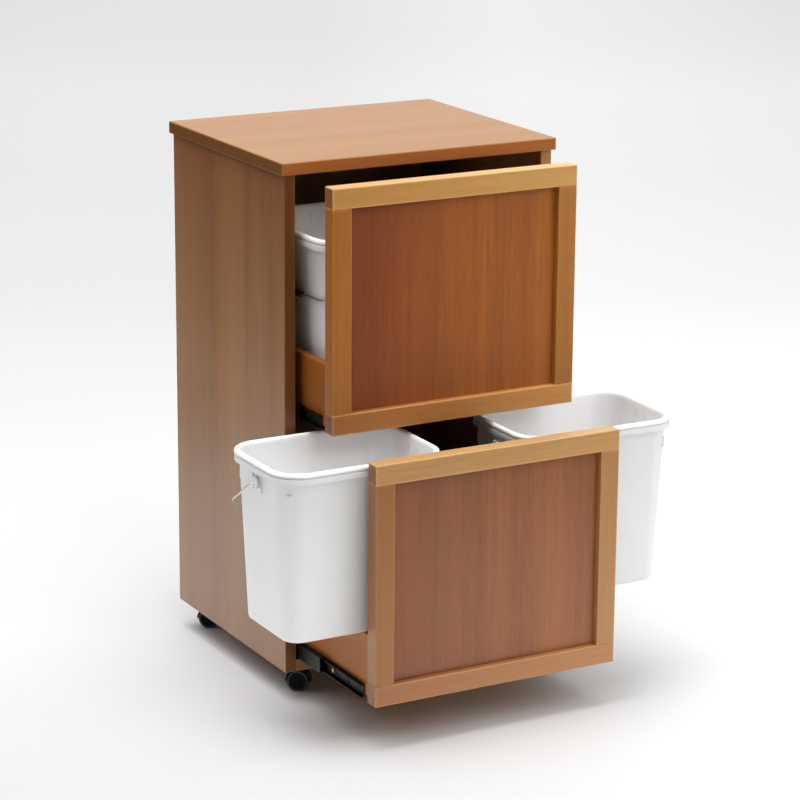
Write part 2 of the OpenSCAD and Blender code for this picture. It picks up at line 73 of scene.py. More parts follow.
# Helpers for node trees

def rgb(r, g, b):
    return tuple((c / 255) ** 2.2 for c in (r, g, b)) + (1,)


def addNode(tree, kind, links=None, values=None, **settings):
    node = tree.nodes.new(kind)
    for key, value in settings.items():
        setattr(node, key, value)
    for key, value in (values or {}).items():
        node.inputs[key].default_value = value
    for key, source in (links or {}).items():
        tree.links.new(source, node.inputs[key])
    return node


def mathNode(tree, operation, a, b=None):
    node = tree.nodes.new("ShaderNodeMath")
    node.operation = operation
    for i, value in enumerate((a, b)):
        if value is None:
            continue
        if isinstance(value, (int, float)):
            node.inputs[i].default_value = value
        else:
            tree.links.new(value, node.inputs[i])
    return node.outputs[0]


def mixColour(tree, factor, a, b, blend="MIX"):
    node = tree.nodes.new("ShaderNodeMix")
    node.data_type = "RGBA"
    node.blend_type = blend
    for key, value in ((0, factor), (6, a), (7, b)):
        if isinstance(value, (int, float, tuple)):
            node.inputs[key].default_value = value
        else:
            tree.links.new(value, node.inputs[key])
    return node.outputs[2]


def rampNode(tree, factor, stops):
    node = tree.nodes.new("ShaderNodeValToRGB")
    ramp = node.color_ramp
    while len(ramp.elements) < len(stops):
        ramp.elements.new(0.5)
    for element, (position, colour) in zip(ramp.elements, stops):
        element.position = position
        element.color = colour
    tree.links.new(factor, node.inputs[0])
    return node.outputs[0]


def stepNode(tree, value, low, high):
    node = addNode(tree, "ShaderNodeMapRange", {"Value": value}, {"From Min": low, "From Max": high},
                   interpolation_type="SMOOTHSTEP")
    return node.outputs["Result"]


def noiseNode(tree, vector, scale, detail=2.0, rough=0.5, stretch=None):
    if stretch:
        vector = addNode(tree, "ShaderNodeMapping", {"Vector": vector}, {"Scale": stretch}).outputs[0]
    return addNode(tree, "ShaderNodeTexNoise", {"Vector": vector},
                   {"Scale": scale, "Detail": detail, "Roughness": rough}).outputs["Fac"]


def newGroup(name, inputs, outputs):
    group = bpy.data.node_groups.new(name, "ShaderNodeTree")
    for key, kind in inputs:
        group.interface.new_socket(key, in_out="INPUT", socket_type=kind)
    for key, kind in outputs:
        group.interface.new_socket(key, in_out="OUTPUT", socket_type=kind)
    return group, group.nodes.new("NodeGroupInput"), group.nodes.new("NodeGroupOutput")


def newMaterial(name):
    material = bpy.data.materials.new(name)
    material.use_nodes = True
    tree = material.node_tree
    return material, tree, tree.nodes["Principled BSDF"]


def useGroup(tree, group, **links):
    node = tree.nodes.new("ShaderNodeGroup")
    node.node_tree = group
    for key, source in links.items():
        tree.links.new(source, node.inputs[key])
    return node


# Scale, detail, roughness and stretch of each noise in the wood figure, which runs along Z
figure = {"warp": (9, 2, 0.5, (1, 1, 0.28)), "sway": 0.014, "bands": (17, 2, 0.45, (1, 1, 0.035)),
          "patches": (11, 1, 0.4, (1, 1, 0.12)), "streaks": (160, 3, 0.6, (1, 1, 0.02)),
          "flecks": (420, 2, 0.55, (1, 1, 0.06)), "fine": (1100, 2, 0.6, (1, 1, 0.03)),
          "pores": (1250, 1, 0.4, (1, 1, 0.055)), "poreEdge": (0.6, 0.74), "fineHeight": 0.6}
endLook = {"mask": (0.75, 0.95), "rings": (260, 3, 0.6)}
# Where the painted edge highlight begins and where it is full
edgeHighlightStep = (0.995, 0.9)


def makeWoodFigure(s):
    tree, start, end = newGroup("woodFigure", [("Vector", "NodeSocketVector")],
                                [(key, "NodeSocketFloat") for key in ("Bands", "Patches", "Streaks", "Flecks",
                                                                      "Pores", "Height")])
    place = start.outputs["Vector"]
    warp = noiseNode(tree, place, *s["warp"])
    shift = mathNode(tree, "MULTIPLY", mathNode(tree, "SUBTRACT", warp, 0.5), s["sway"])
    offset = addNode(tree, "ShaderNodeCombineXYZ", {"X": shift, "Y": shift}).outputs[0]
    bent = addNode(tree, "ShaderNodeVectorMath", {0: place, 1: offset}).outputs[0]
    for key in ("Bands", "Patches", "Streaks", "Flecks"):
        tree.links.new(noiseNode(tree, bent, *s[key.lower()]), end.inputs[key])
    fine = noiseNode(tree, bent, *s["fine"])
    pores = stepNode(tree, noiseNode(tree, bent, *s["pores"]), *s["poreEdge"])
    height = mathNode(tree, "SUBTRACT", mathNode(tree, "MULTIPLY", fine, s["fineHeight"]), pores)
    tree.links.new(pores, end.inputs["Pores"])
    tree.links.new(height, end.inputs["Height"])
    return tree


# How far a face looks along the grain: 1 on end grain
def makeEndGrain(s):
    tree, start, end = newGroup("endGrain", [("Axis", "NodeSocketVector")], [("Mask", "NodeSocketFloat"),
                                                                            ("Rings", "NodeSocketFloat")])
    geometry = tree.nodes.new("ShaderNodeNewGeometry")
    dot = addNode(tree, "ShaderNodeVectorMath", {0: geometry.outputs["True Normal"], 1: start.outputs["Axis"]},
                  operation="DOT_PRODUCT").outputs["Value"]
    mask = stepNode(tree, mathNode(tree, "ABSOLUTE", dot), *s["mask"])
    place = tree.nodes.new("ShaderNodeTexCoord").outputs["Object"]
    rings = noiseNode(tree, place, *s["rings"])
    tree.links.new(mask, end.inputs["Mask"])
    tree.links.new(rings, end.inputs["Rings"])
    return tree


# Painted highlight on rounded edges: paler where the rounded normal leaves the face's own
def makePaintedEdgeHighlight():
    tree, start, end = newGroup("paintedEdgeHighlight", [("Rounded", "NodeSocketVector")], [("Mask", "NodeSocketFloat")])
    geometry = tree.nodes.new("ShaderNodeNewGeometry")
    dot = addNode(tree, "ShaderNodeVectorMath", {0: geometry.outputs["True Normal"], 1: start.outputs["Rounded"]},
                  operation="DOT_PRODUCT").outputs["Value"]
    tree.links.new(stepNode(tree, dot, *edgeHighlightStep), end.inputs["Mask"])
    return tree


woodFigure = makeWoodFigure(figure)
endGrain = makeEndGrain(endLook)
paintedEdgeHighlight = makePaintedEdgeHighlight()

# Middle tone, end tone, grain direction and figure strength of each board. The other keys are tone factors: the
# edge tone of the faces along Y, with painted shade on the left side panel's front edge and painted light on the
# right one's;
# painted light on the faces along Z of the top rails; a painted sheen by height on the left side panel, paler and
# bluer in its middle; a painted light gradient from left to right on the fronts; and a painted highlight on
# rounded edges.
caseTone = rgb(137, 98, 64)
caseEnd = rgb(100, 66, 36)
# Painted shade on the left side panel's front edge, where the drawer fronts shade it
caseEdgeShade = (0.62, 0.44, 0.22)
# Painted sheen and bounce light on the left side panel: tone factors by height, paler and bluer in the middle
casePaintedSheen = ((0.2, (0.89, 0.93, 0.93)), (0.46, (1.29, 1.46, 1.85)), (0.62, (1.17, 1.18, 1.32)),
            (0.78, (1.05, 0.88, 0.82)))
boxFloor = rgb(168, 124, 82)
boards = {
    "top_board": {"mid": rgb(147, 100, 44), "end": rgb(119, 77, 40), "edge": (1.16, 0.79, 0.58), "grain": "x",
                  "figure": 0.7},
    "left_side_panel": {"mid": caseTone, "end": caseEnd, "edge": caseEdgeShade, "paintedSheenByHeight": casePaintedSheen, "grain": "z",
                        "figure": 1.0},
    # Painted light on the right side panel's front edge
    "right_side_panel": {"mid": caseTone, "end": caseEnd, "edge": (1.5, 1.5, 1.15), "grain": "z", "figure": 1.0},
    "bottom_board": {"mid": caseTone, "end": caseEnd, "grain": "x", "figure": 0.9},
    "back_panel": {"mid": rgb(152, 116, 82), "end": caseEnd, "grain": "z", "figure": 0.9},
    "case_dowels": {"mid": rgb(196, 160, 112), "end": rgb(170, 134, 92), "grain": "z", "figure": 0.9},
}
# Tones per level: the upper and lower copies of one wood, and the differing tones of stiles, rails, panels and
# boxes, carry painted light and shade. The last value sets the painted light gradient from left to right.
levelTonesAndLight = {
    "upper": {"top": rgb(184, 138, 79), "bottom": rgb(175, 120, 64), "leftStile": rgb(161, 102, 40),
              "rightStile": rgb(159, 104, 49), "panel": rgb(143, 80, 32), "end": rgb(140, 92, 52),
              "box": rgb(142, 87, 41), "paintedLightSlope": 0.1},
    "lower": {"top": rgb(175, 133, 82), "bottom": rgb(153, 102, 60), "leftStile": rgb(138, 92, 47),
              "rightStile": rgb(158, 113, 67), "panel": rgb(126, 76, 42), "end": rgb(128, 84, 46),
              "box": rgb(150, 92, 37), "paintedLightSlope": 0.06},
}
for level, tones in levelTonesAndLight.items():
    paintedLightSlope, end = tones["paintedLightSlope"], tones["end"]
    # Per level: painted light on the top rails' tops, a painted light gradient from left to right, and a painted
    # highlight on rounded edges
    boards.update({
        level + "_top_rail": {"mid": tones["top"], "paintedLightSlope": 1.2 * paintedLightSlope, "end": end, "paintedTopLight": (1.1, 1.22, 1.5),
                               "edgeHighlightStrength": 1.0, "grain": "x", "figure": 0.7},
        level + "_bottom_rail": {"mid": tones["bottom"], "paintedLightSlope": 3.4 * paintedLightSlope, "end": end, "edgeHighlightStrength": 1.0,
                                 "grain": "x", "figure": 0.7},
        level + "_left_stile": {"mid": tones["leftStile"], "paintedLightSlope": paintedLightSlope, "end": end, "edgeHighlightStrength": 1.0, "grain": "z",
                                 "figure": 0.7},
        level + "_right_stile": {"mid": tones["rightStile"], "paintedLightSlope": paintedLightSlope, "end": end, "edgeHighlightStrength": 1.0, "grain": "z",
                                  "figure": 0.7},
        level + "_panel": {"mid": tones["panel"], "paintedLightSlope": 4.2 * paintedLightSlope, "end": end, "grain": "z",
                           "figure": 1.25},
        level + "_box_floor": {"mid": boxFloor, "end": end, "grain": "x", "figure": 0.8},
    })
    for side, grain in (("left", "y"), ("right", "y"), ("front", "x"), ("back", "x")):
        boards[level + "_box_" + side] = {"mid": tones["box"], "end": end, "gloss": 0.35, "grain": grain,
                                          "figure": 0.8}

# Turns that bring each grain direction onto Z
grainTurns = {"x": (0, math.pi / 2, 0), "y": (math.pi / 2, 0, 0), "z": (0, 0, 0)}
grainAxes = {"x": (1, 0, 0), "y": (0, 1, 0), "z": (0, 0, 1)}

# Wood finish and figure, and painted light: a gradient across the fronts, brighter and bluer to the right, and a
# pale highlight on rounded edges
woodFinishAndLight = {"rough": 0.38, "roughSpread": 0.14, "specular": 0.36, "coat": 0.25, "coatRough": 0.2, "arris": 0.0014,
          "bands": 0.45, "streaks": 0.3, "flecks": 0.25, "spread": 0.16, "dark": 0.78, "light": 1.2,
          "warm": (1.12, 1.0, 0.8), "warmEdge": (0.42, 0.64), "warmth": 0.5, "cool": (0.98, 0.92, 0.9),
          "coolEdge": (0.56, 0.4), "coolness": 0.5, "pores": 0.3, "poreTone": 0.6, "endDark": 0.86,
          "endEdge": (0.35, 0.65), "paintedLightSlope": (0.8, 1.25, 1.7), "halfFront": 0.2, "edgeHighlightStrength": 0.3, "edgeHighlightWidth": 0.0028,
          "edgeHighlightTone": (1.55, 1.75, 2.2), "bump": 0.2, "bumpDepth": 0.0002, "offset": (0.37, 0.61, 0.23)}


def tinted(colour, amount):
    amounts = amount if isinstance(amount, tuple) else (amount,) * 3
    return tuple(min(c * a, 1) for c, a in zip(colour, amounts)) + (1,)


def woodMaterial(name, s, shift):
    material, tree, shader = newMaterial(name)
    place = tree.nodes.new("ShaderNodeTexCoord").outputs["Object"]
    along = addNode(tree, "ShaderNodeMapping", {"Vector": place},
                    {"Rotation": grainTurns[s["grain"]], "Location": tuple(shift * k for k in woodFinishAndLight["offset"])})
    out = useGroup(tree, woodFigure, Vector=along.outputs[0]).outputs
    mid, strength = s["mid"], s["figure"]
    spread = woodFinishAndLight["spread"] / strength
    tone = mathNode(tree, "ADD", mathNode(tree, "MULTIPLY", out["Bands"], woodFinishAndLight["bands"]),
                    mathNode(tree, "ADD", mathNode(tree, "MULTIPLY", out["Streaks"], woodFinishAndLight["streaks"]),
                             mathNode(tree, "MULTIPLY", out["Flecks"], woodFinishAndLight["flecks"])))
    base = rampNode(tree, tone, [(0.5 - spread, tinted(mid, woodFinishAndLight["dark"])), (0.5, mid),
                                 (0.5 + spread, tinted(mid, woodFinishAndLight["light"]))])
    warm = stepNode(tree, out["Patches"], *woodFinishAndLight["warmEdge"])
    base = mixColour(tree, mathNode(tree, "MULTIPLY", warm, woodFinishAndLight["warmth"]), base,
                     mixColour(tree, 1.0, base, woodFinishAndLight["warm"] + (1,), "MULTIPLY"))
    cool = stepNode(tree, out["Bands"], *woodFinishAndLight["coolEdge"])
    base = mixColour(tree, mathNode(tree, "MULTIPLY", cool, woodFinishAndLight["coolness"] * strength), base,
                     mixColour(tree, 1.0, base, woodFinishAndLight["cool"] + (1,), "MULTIPLY"))
    base = mixColour(tree, mathNode(tree, "MULTIPLY", out["Pores"], woodFinishAndLight["pores"]), base,
                     tinted(mid, woodFinishAndLight["poreTone"]))
    ends = useGroup(tree, endGrain)
    ends.inputs["Axis"].default_value = grainAxes[s["grain"]]
    low, high = woodFinishAndLight["endEdge"]
    endTone = rampNode(tree, ends.outputs["Rings"], [(low, tinted(s["end"], woodFinishAndLight["endDark"])), (high, s["end"])])
    base = mixColour(tree, ends.outputs["Mask"], base, endTone)
    # Tone factors on the faces along Y and Z: edge tones, and painted light and shade on some boards
    for part, axis in (("edge", "y"), ("paintedTopLight", "z")):
        if part in s:
            banded = useGroup(tree, endGrain)
            banded.inputs["Axis"].default_value = grainAxes[axis]
            base = mixColour(tree, banded.outputs["Mask"], base,
                             mixColour(tree, 1.0, base, s[part] + (1,), "MULTIPLY"))
    # Painted light: the fronts grow brighter and paler from left to right
    if "paintedLightSlope" in s:
        across = addNode(tree, "ShaderNodeSeparateXYZ", {"Vector": place}).outputs["X"]
        span = addNode(tree, "ShaderNodeMapRange", {"Value": across},
                       {"From Min": -woodFinishAndLight["halfFront"], "From Max": woodFinishAndLight["halfFront"]})
        dim, bright = (tuple(1 + sign * s["paintedLightSlope"] * k for k in woodFinishAndLight["paintedLightSlope"]) + (1,) for sign in (-1, 1))
        base = mixColour(tree, 1.0, base, mixColour(tree, span.outputs["Result"], dim, bright), "MULTIPLY")
    soft = addNode(tree, "ShaderNodeBevel", {}, {"Radius": woodFinishAndLight["arris"]}, samples=4)
    # Painted highlight along rounded edges, paler and bluer
    wide = addNode(tree, "ShaderNodeBevel", {}, {"Radius": woodFinishAndLight["edgeHighlightWidth"]}, samples=4)
    edgeHighlight = useGroup(tree, paintedEdgeHighlight, Rounded=wide.outputs[0]).outputs["Mask"]
    base = mixColour(tree, mathNode(tree, "MULTIPLY", edgeHighlight, s.get("edgeHighlightStrength", woodFinishAndLight["edgeHighlightStrength"])), base,
                     tinted(mid, woodFinishAndLight["edgeHighlightTone"]))
    if "paintedSheenByHeight" in s:
        # Painted sheen and bounce light by height, paler and bluer in the middle of the panel. Halved for the
        # ramp, which holds tones up to 1, and doubled again outside it
        upward = addNode(tree, "ShaderNodeSeparateXYZ", {"Vector": place}).outputs["Z"]
        sheenTone = rampNode(tree, upward, [(z, tinted((0.5, 0.5, 0.5), k)) for z, k in s["paintedSheenByHeight"]])
        base = mixColour(tree, 1.0, mixColour(tree, 1.0, base, (2, 2, 2, 1), "MULTIPLY"), sheenTone, "MULTIPLY")
    tree.links.new(base, shader.inputs["Base Color"])
    rough = mathNode(tree, "ADD", mathNode(tree, "MULTIPLY", out["Streaks"], woodFinishAndLight["roughSpread"]),
                     woodFinishAndLight["rough"] - woodFinishAndLight["roughSpread"] / 2)
    tree.links.new(rough, shader.inputs["Roughness"])
    gloss = s.get("gloss", 1)
    shader.inputs["Specular IOR Level"].default_value = woodFinishAndLight["specular"] * gloss
    shader.inputs["Coat Weight"].default_value = woodFinishAndLight["coat"] * gloss
    shader.inputs["Coat Roughness"].default_value = woodFinishAndLight["coatRough"]
    bump = addNode(tree, "ShaderNodeBump", {"Height": out["Height"], "Normal": soft.outputs[0]},
                   {"Strength": woodFinishAndLight["bump"], "Distance": woodFinishAndLight["bumpDepth"]})
    tree.links.new(bump.outputs[0], shader.inputs["Normal"])
    return material


def wear(node, material):
    slots = nodes[node].data.materials
    slots.clear()
    slots.append(material)


for number, (node, look) in enumerate(boards.items()):
    wear(node, woodMaterial("wood_" + node, look, 1.7 * number + 0.4))
print("wood:", len(boards), "nodes")


# Plastic and metal

plasticLook = {"cloud": (22, 2, 0.5), "cloudEdge": (0.35, 0.6), "smear": (60, 3, 0.6), "spread": 0.12,
               "pebble": (2600, 1, 0.5), "depth": 0.0001}
steelLook = {"lines": (1200, 3, 0.6), "cloud": (40, 2, 0.5), "cloudEdge": (0.35, 0.65), "dark": 0.78,
             "spread": 0.2, "arris": 0.0005, "bump": 0.08, "depth": 0.0001}
brushed = (1, 0.02, 1)
plain = (1, 1, 1)


# Base colour in soft clouds, and a roughness that varies by a noise
def cloudedLook(tree, shader, place, s, dark, colour, rough, streaks):
    low, high = s["cloudEdge"]
    darker = tuple(c * dark for c in colour[:3]) + (1,)
    cloud = noiseNode(tree, place, *s["cloud"])
    tree.links.new(rampNode(tree, cloud, [(low, darker), (high, colour)]), shader.inputs["Base Color"])
    tree.links.new(mathNode(tree, "ADD", mathNode(tree, "MULTIPLY", streaks, s["spread"]),
                            rough - s["spread"] / 2), shader.inputs["Roughness"])


def plasticMaterial(name, colour, rough, grain=0.0, speck=0.3):
    material, tree, shader = newMaterial(name)
    place = tree.nodes.new("ShaderNodeTexCoord").outputs["Object"]
    smear = noiseNode(tree, place, *plasticLook["smear"])
    cloudedLook(tree, shader, place, plasticLook, 1 - speck, colour, rough, smear)
    if grain:
        pebble = noiseNode(tree, place, *plasticLook["pebble"])
        bump = addNode(tree, "ShaderNodeBump", {"Height": pebble},
                       {"Strength": grain, "Distance": plasticLook["depth"]})
        tree.links.new(bump.outputs[0], shader.inputs["Normal"])
    return material


def steelMaterial(name, colour, rough, brush):
    material, tree, shader = newMaterial(name)
    place = tree.nodes.new("ShaderNodeTexCoord").outputs["Object"]
    lines = noiseNode(tree, place, *steelLook["lines"], brush)
    cloudedLook(tree, shader, place, steelLook, steelLook["dark"], colour, rough, lines)
    shader.inputs["Metallic"].default_value = 1.0
    soft = addNode(tree, "ShaderNodeBevel", {}, {"Radius": steelLook["arris"]}, samples=4)
    bump = addNode(tree, "ShaderNodeBump", {"Height": lines, "Normal": soft.outputs[0]},
                   {"Strength": steelLook["bump"], "Distance": steelLook["depth"]})
    tree.links.new(bump.outputs[0], shader.inputs["Normal"])
    return material


# One plastic for the outside, and a brighter copy for the inside and the rim, which paints light there
pailPlastic = plasticMaterial("pailPlastic", rgb(221, 222, 222), 0.42, speck=0.015)
litInsidePlastic = plasticMaterial("litInsidePlastic", rgb(246, 246, 246), 0.36, speck=0.01)
for white in (pailPlastic, litInsidePlastic):
    white.node_tree.nodes["Principled BSDF"].inputs["Subsurface Weight"].default_value = 0.15
    white.node_tree.nodes["Principled BSDF"].inputs["Subsurface Radius"].default_value = (0.004, 0.004, 0.004)
blackPlastic = plasticMaterial("blackPlastic", rgb(7, 7, 7), 0.5, 0.15)
treadPlastic = plasticMaterial("treadPlastic", rgb(11, 11, 11), 0.55, 0.2)
# A grey ring on each wheel's side is a painted highlight of the tread's edge
wheelHighlightPlastic = plasticMaterial("wheelHighlightPlastic", rgb(72, 74, 74), 0.4, 0.1, speck=0.1)
gripPlastic = plasticMaterial("gripPlastic", rgb(26, 25, 24), 0.45, 0.2)
for black in (blackPlastic, treadPlastic):
    black.node_tree.nodes["Principled BSDF"].inputs["Specular IOR Level"].default_value = 0.12
darkSteel = steelMaterial("darkSteel", rgb(42, 43, 42), 0.45, brushed)
midSteel = steelMaterial("midSteel", rgb(48, 50, 49), 0.45, brushed)
zincSteel = steelMaterial("zincSteel", rgb(150, 150, 147), 0.4, plain)
wireSteel = steelMaterial("wireSteel", rgb(206, 204, 200), 0.38, plain)

for level in ("upper", "lower"):
    wear(level + "_cabinet_runners", darkSteel)
    wear(level + "_middle_runners", midSteel)
    wear(level + "_drawer_runners", darkSteel)
    wear(level + "_drawer_screws", zincSteel)
wear("castor_plates", midSteel)
wear("fixing_screws", zincSteel)


# Mesh builders

weldGap = 0.0000005


def meshPiece(name, points, faces, materials, body, spots=None, sharp=35, place=None):
    mesh = bpy.data.meshes.new(name)
    mesh.from_pydata([tuple(p) for p in points], [], faces)
    for material in materials:
        mesh.materials.append(material)
    if spots:
        mesh.polygons.foreach_set("material_index", spots)
    cleaner = bmesh.new()
    cleaner.from_mesh(mesh)
    bmesh.ops.remove_doubles(cleaner, verts=cleaner.verts, dist=weldGap)
    bmesh.ops.recalc_face_normals(cleaner, faces=cleaner.faces)
    cleaner.to_mesh(mesh)
    cleaner.free()
    mesh.polygons.foreach_set("use_smooth", [True] * len(mesh.polygons))
    mesh.set_sharp_from_angle(angle=math.radians(sharp))
    obj = bpy.data.objects.new(name, mesh)
    scene.collection.objects.link(obj)
    if place is not None:
        obj.matrix_world = place
    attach(obj, body)
    return obj


# Joins rings of equally many points into a skin
def skin(rings, capFirst=True, capLast=True):
    count = len(rings[0])
    points = [p for ring in rings for p in ring]
    faces = []
    for i in range(len(rings) - 1):
        for j in range(count):
            k = (j + 1) % count
            faces.append((i * count + j, i * count + k, (i + 1) * count + k, (i + 1) * count + j))
    if capFirst:
        faces.append(tuple(range(count))[::-1])
    if capLast:
        faces.append(tuple((len(rings) - 1) * count + j for j in range(count)))
    return points, faces


# A turned shape round the Z axis from (radius, height) pairs
def turned(profile, count=48, caps=True):
    rings = []
    for radius, height in profile:
        rings.append([(radius * math.cos(2 * math.pi * j / count), radius * math.sin(2 * math.pi * j / count),
                       height) for j in range(count)])
    return skin(rings, caps and profile[0][0] > 0, caps and profile[-1][0] > 0)


def roundedRing(halfLength, halfWidth, radius, height, steps=14):
    ring = []
    for turn, sx, sy in ((0, 1, 1), (90, -1, 1), (180, -1, -1), (270, 1, -1)):
        for i in range(steps + 1):
            a = math.radians(turn + 90 * i / steps)
            ring.append((sx * (halfLength - radius) + radius * math.cos(a),
                         sy * (halfWidth - radius) + radius * math.sin(a), height))
    return ring


def moved(points, matrix):
    return [tuple(matrix @ Vector(p)) for p in points]


# Joins (points, faces, material spots) parts into one mesh's lists
def gathered(parts):
    points, faces, spots = [], [], []
    for partPoints, partFaces, spot in parts:
        start = len(points)
        points += partPoints
        faces += [tuple(i + start for i in face) for face in partFaces]
        spots += spot if isinstance(spot, list) else [spot] * len(partFaces)
    return points, faces, spots


def facing(x, y, z, along):
    turn = Vector((0, 0, 1)).rotation_difference(Vector(along)).to_matrix().to_4x4()
    return Matrix.Translation((x, y, z)) @ turn


# Pails

# The first rings, on the inside and the rim, take the brighter plastic with painted light
pail = {"length": 0.264, "width": 0.188, "height": 0.252, "corner": 0.046, "wall": 0.0022, "reach": 0.007,
        "taper": 0.012, "pivotDepth": 0.033, "wire": 0.0016, "bore": 0.00166, "band": 0.235, "litRings": 14}
# Two gussets beside each ear, and a stacking lug in each corner. Depths are measured in from the rim's outside.
ear = {"radius": 0.009, "root": 0.0097, "tip": 0.002, "gussetRoot": 0.0102, "gussetTip": 0.0068,
       "gussetSide": 0.0125, "gussetHalf": 0.0009, "gussetFoot": 0.012, "gussetTop": 0.004, "ease": 0.0005}
lug = {"low": (-0.0100, -0.0044, 0.2045), "high": (-0.0070, 0.0044, 0.2195), "ease": 0.0009}


def pailProfile(s):
    top = s["height"]
    foot = s["reach"] + s["taper"]
    inner = s["reach"] + s["wall"]

    def wallAt(z):
        return s["reach"] + s["taper"] * (top - z) / top

    return [
        (foot + 0.03, 0.0030), (foot + 0.0092, 0.0030), (foot + 0.0048, 0.0036), (foot + 0.0028, 0.0056),
        (foot + 0.0023, 0.0090), (inner + 0.0003, top - 0.014), (inner, top - 0.006),
        (inner - 0.0005, top - 0.0026), (inner - 0.0016, top - 0.0008), (inner - 0.0032, top),
        (0.0036, top), (0.0018, top - 0.0004),
        (0.0006, top - 0.0014), (0.0001, top - 0.0028), (0.0001, top - 0.0048), (0.0006, top - 0.0060),
        (0.0020, top - 0.0066), (0.0024, top - 0.0072), (0.0015, top - 0.0078), (0.0008, top - 0.0084),
        (0.0006, top - 0.0096), (0.0007, s["band"] + 0.0012), (0.0012, s["band"] + 0.0002),
        (0.0022, s["band"] + 0.0002), (0.0027, s["band"] + 0.0012), (0.0030, top - 0.0105), (0.0040, top - 0.0095),
        (wallAt(top) - 0.0012, top - 0.0095), (wallAt(top - 0.0115), top - 0.0115), (wallAt(0.12), 0.12),
        (wallAt(0.006), 0.006), (foot + 0.0008, 0.0026), (foot + 0.0028, 0.0007), (foot + 0.0060, 0.0001),
        (foot + 0.0105, 0.0001), (foot + 0.0118, 0.0012), (foot + 0.03, 0.0012)]


def pailBody(s):
    rings = [roundedRing(s["length"] / 2 - inset, s["width"] / 2 - inset, max(s["corner"] - inset, 0.004), z)
             for inset, z in pailProfile(s)]
    points, faces = skin(rings)
    count = len(rings[0])
    # Painted light: the inside and the rim take the brighter plastic
    spots = [1 if i // count < s["litRings"] else 0 for i in range(len(faces) - 2)]
    return points, faces, spots + [1, 0]


# A small block with eased edges, as (points, faces), between two corners
def easedBlock(low, high, ease):
    rings = []
    for z, inset in ((low[2], ease), (low[2] + ease, 0), (high[2] - ease, 0), (high[2], ease)):
        x0, x1, y0, y1 = low[0] + inset, high[0] - inset, low[1] + inset, high[1] - inset
        e = ease
        rings.append([(x0 + e, y0, z), (x1 - e, y0, z), (x1, y0 + e, z), (x1, y1 - e, z), (x1 - e, y1, z),
                      (x0 + e, y1, z), (x0, y1 - e, z), (x0, y0 + e, z)])
    return skin(rings)


def pailEars(s):
    parts = []
    z = s["height"] - s["pivotDepth"]
    bore, half = s["bore"], ear["gussetHalf"]
    for side in (-1, 1):
        root, tip = s["length"] / 2 - ear["root"], s["length"] / 2 - ear["tip"]
        profile = [(ear["radius"], root), (ear["radius"], tip - 0.0007), (ear["radius"] - 0.0007, tip),
                   (bore + 0.0005, tip), (bore, tip - 0.0005), (bore, root + 0.0014)]
        points, faces = turned(profile, 40)
        turn = facing(0, 0, z, (side, 0, 0))
        parts.append((moved(points, turn), faces, 0))
        for y in (-ear["gussetSide"], ear["gussetSide"]):
            x0, x1 = sorted(side * (s["length"] / 2 - depth) for depth in (ear["gussetRoot"], ear["gussetTip"]))
            block = easedBlock((x0, y - half, z - ear["gussetFoot"]), (x1, y + half, s["band"] + ear["gussetTop"]),
                               ear["ease"])
            parts.append((block[0], block[1], 0))
    inset = s["corner"] * (1 - math.sqrt(0.5))
    for sx in (-1, 1):
        for sy in (-1, 1):
            block = easedBlock(lug["low"], lug["high"], lug["ease"])
            turn = Matrix.Translation((sx * (s["length"] / 2 - inset), sy * (s["width"] / 2 - inset), 0)) @ \
                Matrix.Rotation(math.atan2(sy, sx), 4, "Z")
            parts.append((moved(block[0], turn), block[1], 0))
    return parts


# The upper pails are stored lengthwise, and the lower ones stand across the drawer
stored = {"x": 0.0945, "y": -0.0052, "z": 0.446}
standing = {"x": 0.195, "leftY": -0.1828, "rightY": -0.1798, "z": 0.163}
pailPlaces = {}
for sideName, side in (("left", -1), ("right", 1)):
    pailPlaces["upper_" + sideName] = Matrix.Translation((side * stored["x"], stored["y"], stored["z"])) @ \
        Matrix.Rotation(math.pi / 2, 4, "Z")
    pailPlaces["lower_" + sideName] = Matrix.Translation(
        (side * standing["x"], standing[sideName + "Y"], standing["z"]))

for name, place in pailPlaces.items():
    points, faces, spots = gathered([pailBody(pail)] + pailEars(pail))
    piece = meshPiece("pail_" + name, points, faces, [pailPlastic, litInsidePlastic], name + "_pail", spots, 40, place)
    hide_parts(name + "_pail")
print("pails:", len(pailPlaces))


# Wire handles and their grips

handle = {"reach": 0.102, "step": 0.003, "bend": 0.046, "pinBend": 0.005, "stepRun": 0.012, "gap": 0.003,
          "grip": 0.09, "gripRadius": 0.0045, "ribs": 9, "firstRib": -0.032, "ribPitch": 0.008, "groove": 0.0006,
          "hang": math.radians(33.486), "end": 0.1351, "pin": 0.126}


def arc(centre, radius, first, last, steps):
    return [(centre[0] + radius * math.cos(math.radians(first + (last - first) * i / steps)),
             centre[1] + radius * math.sin(math.radians(first + (last - first) * i / steps)))
            for i in range(steps + 1)]


def handlePath(s):
    half = [(s["pin"], 0)]
    half += arc((s["end"] - s["pinBend"], s["pinBend"]), s["pinBend"], -90, 0, 8)
    half += arc((s["end"] - s["bend"], s["reach"] - s["bend"]), s["bend"], 0, 90, 24)
    gripEnd = s["grip"] / 2 + s["gap"]
    half.append((gripEnd + s["stepRun"], s["reach"]))
    for i in range(1, 8):
        t = i / 8
        half.append((gripEnd + s["stepRun"] * (1 - t), s["reach"] + s["step"] * (3 * t * t - 2 * t ** 3)))
    half.append((gripEnd, s["reach"] + s["step"]))
    return half + [(-x, y) for x, y in reversed(half)]


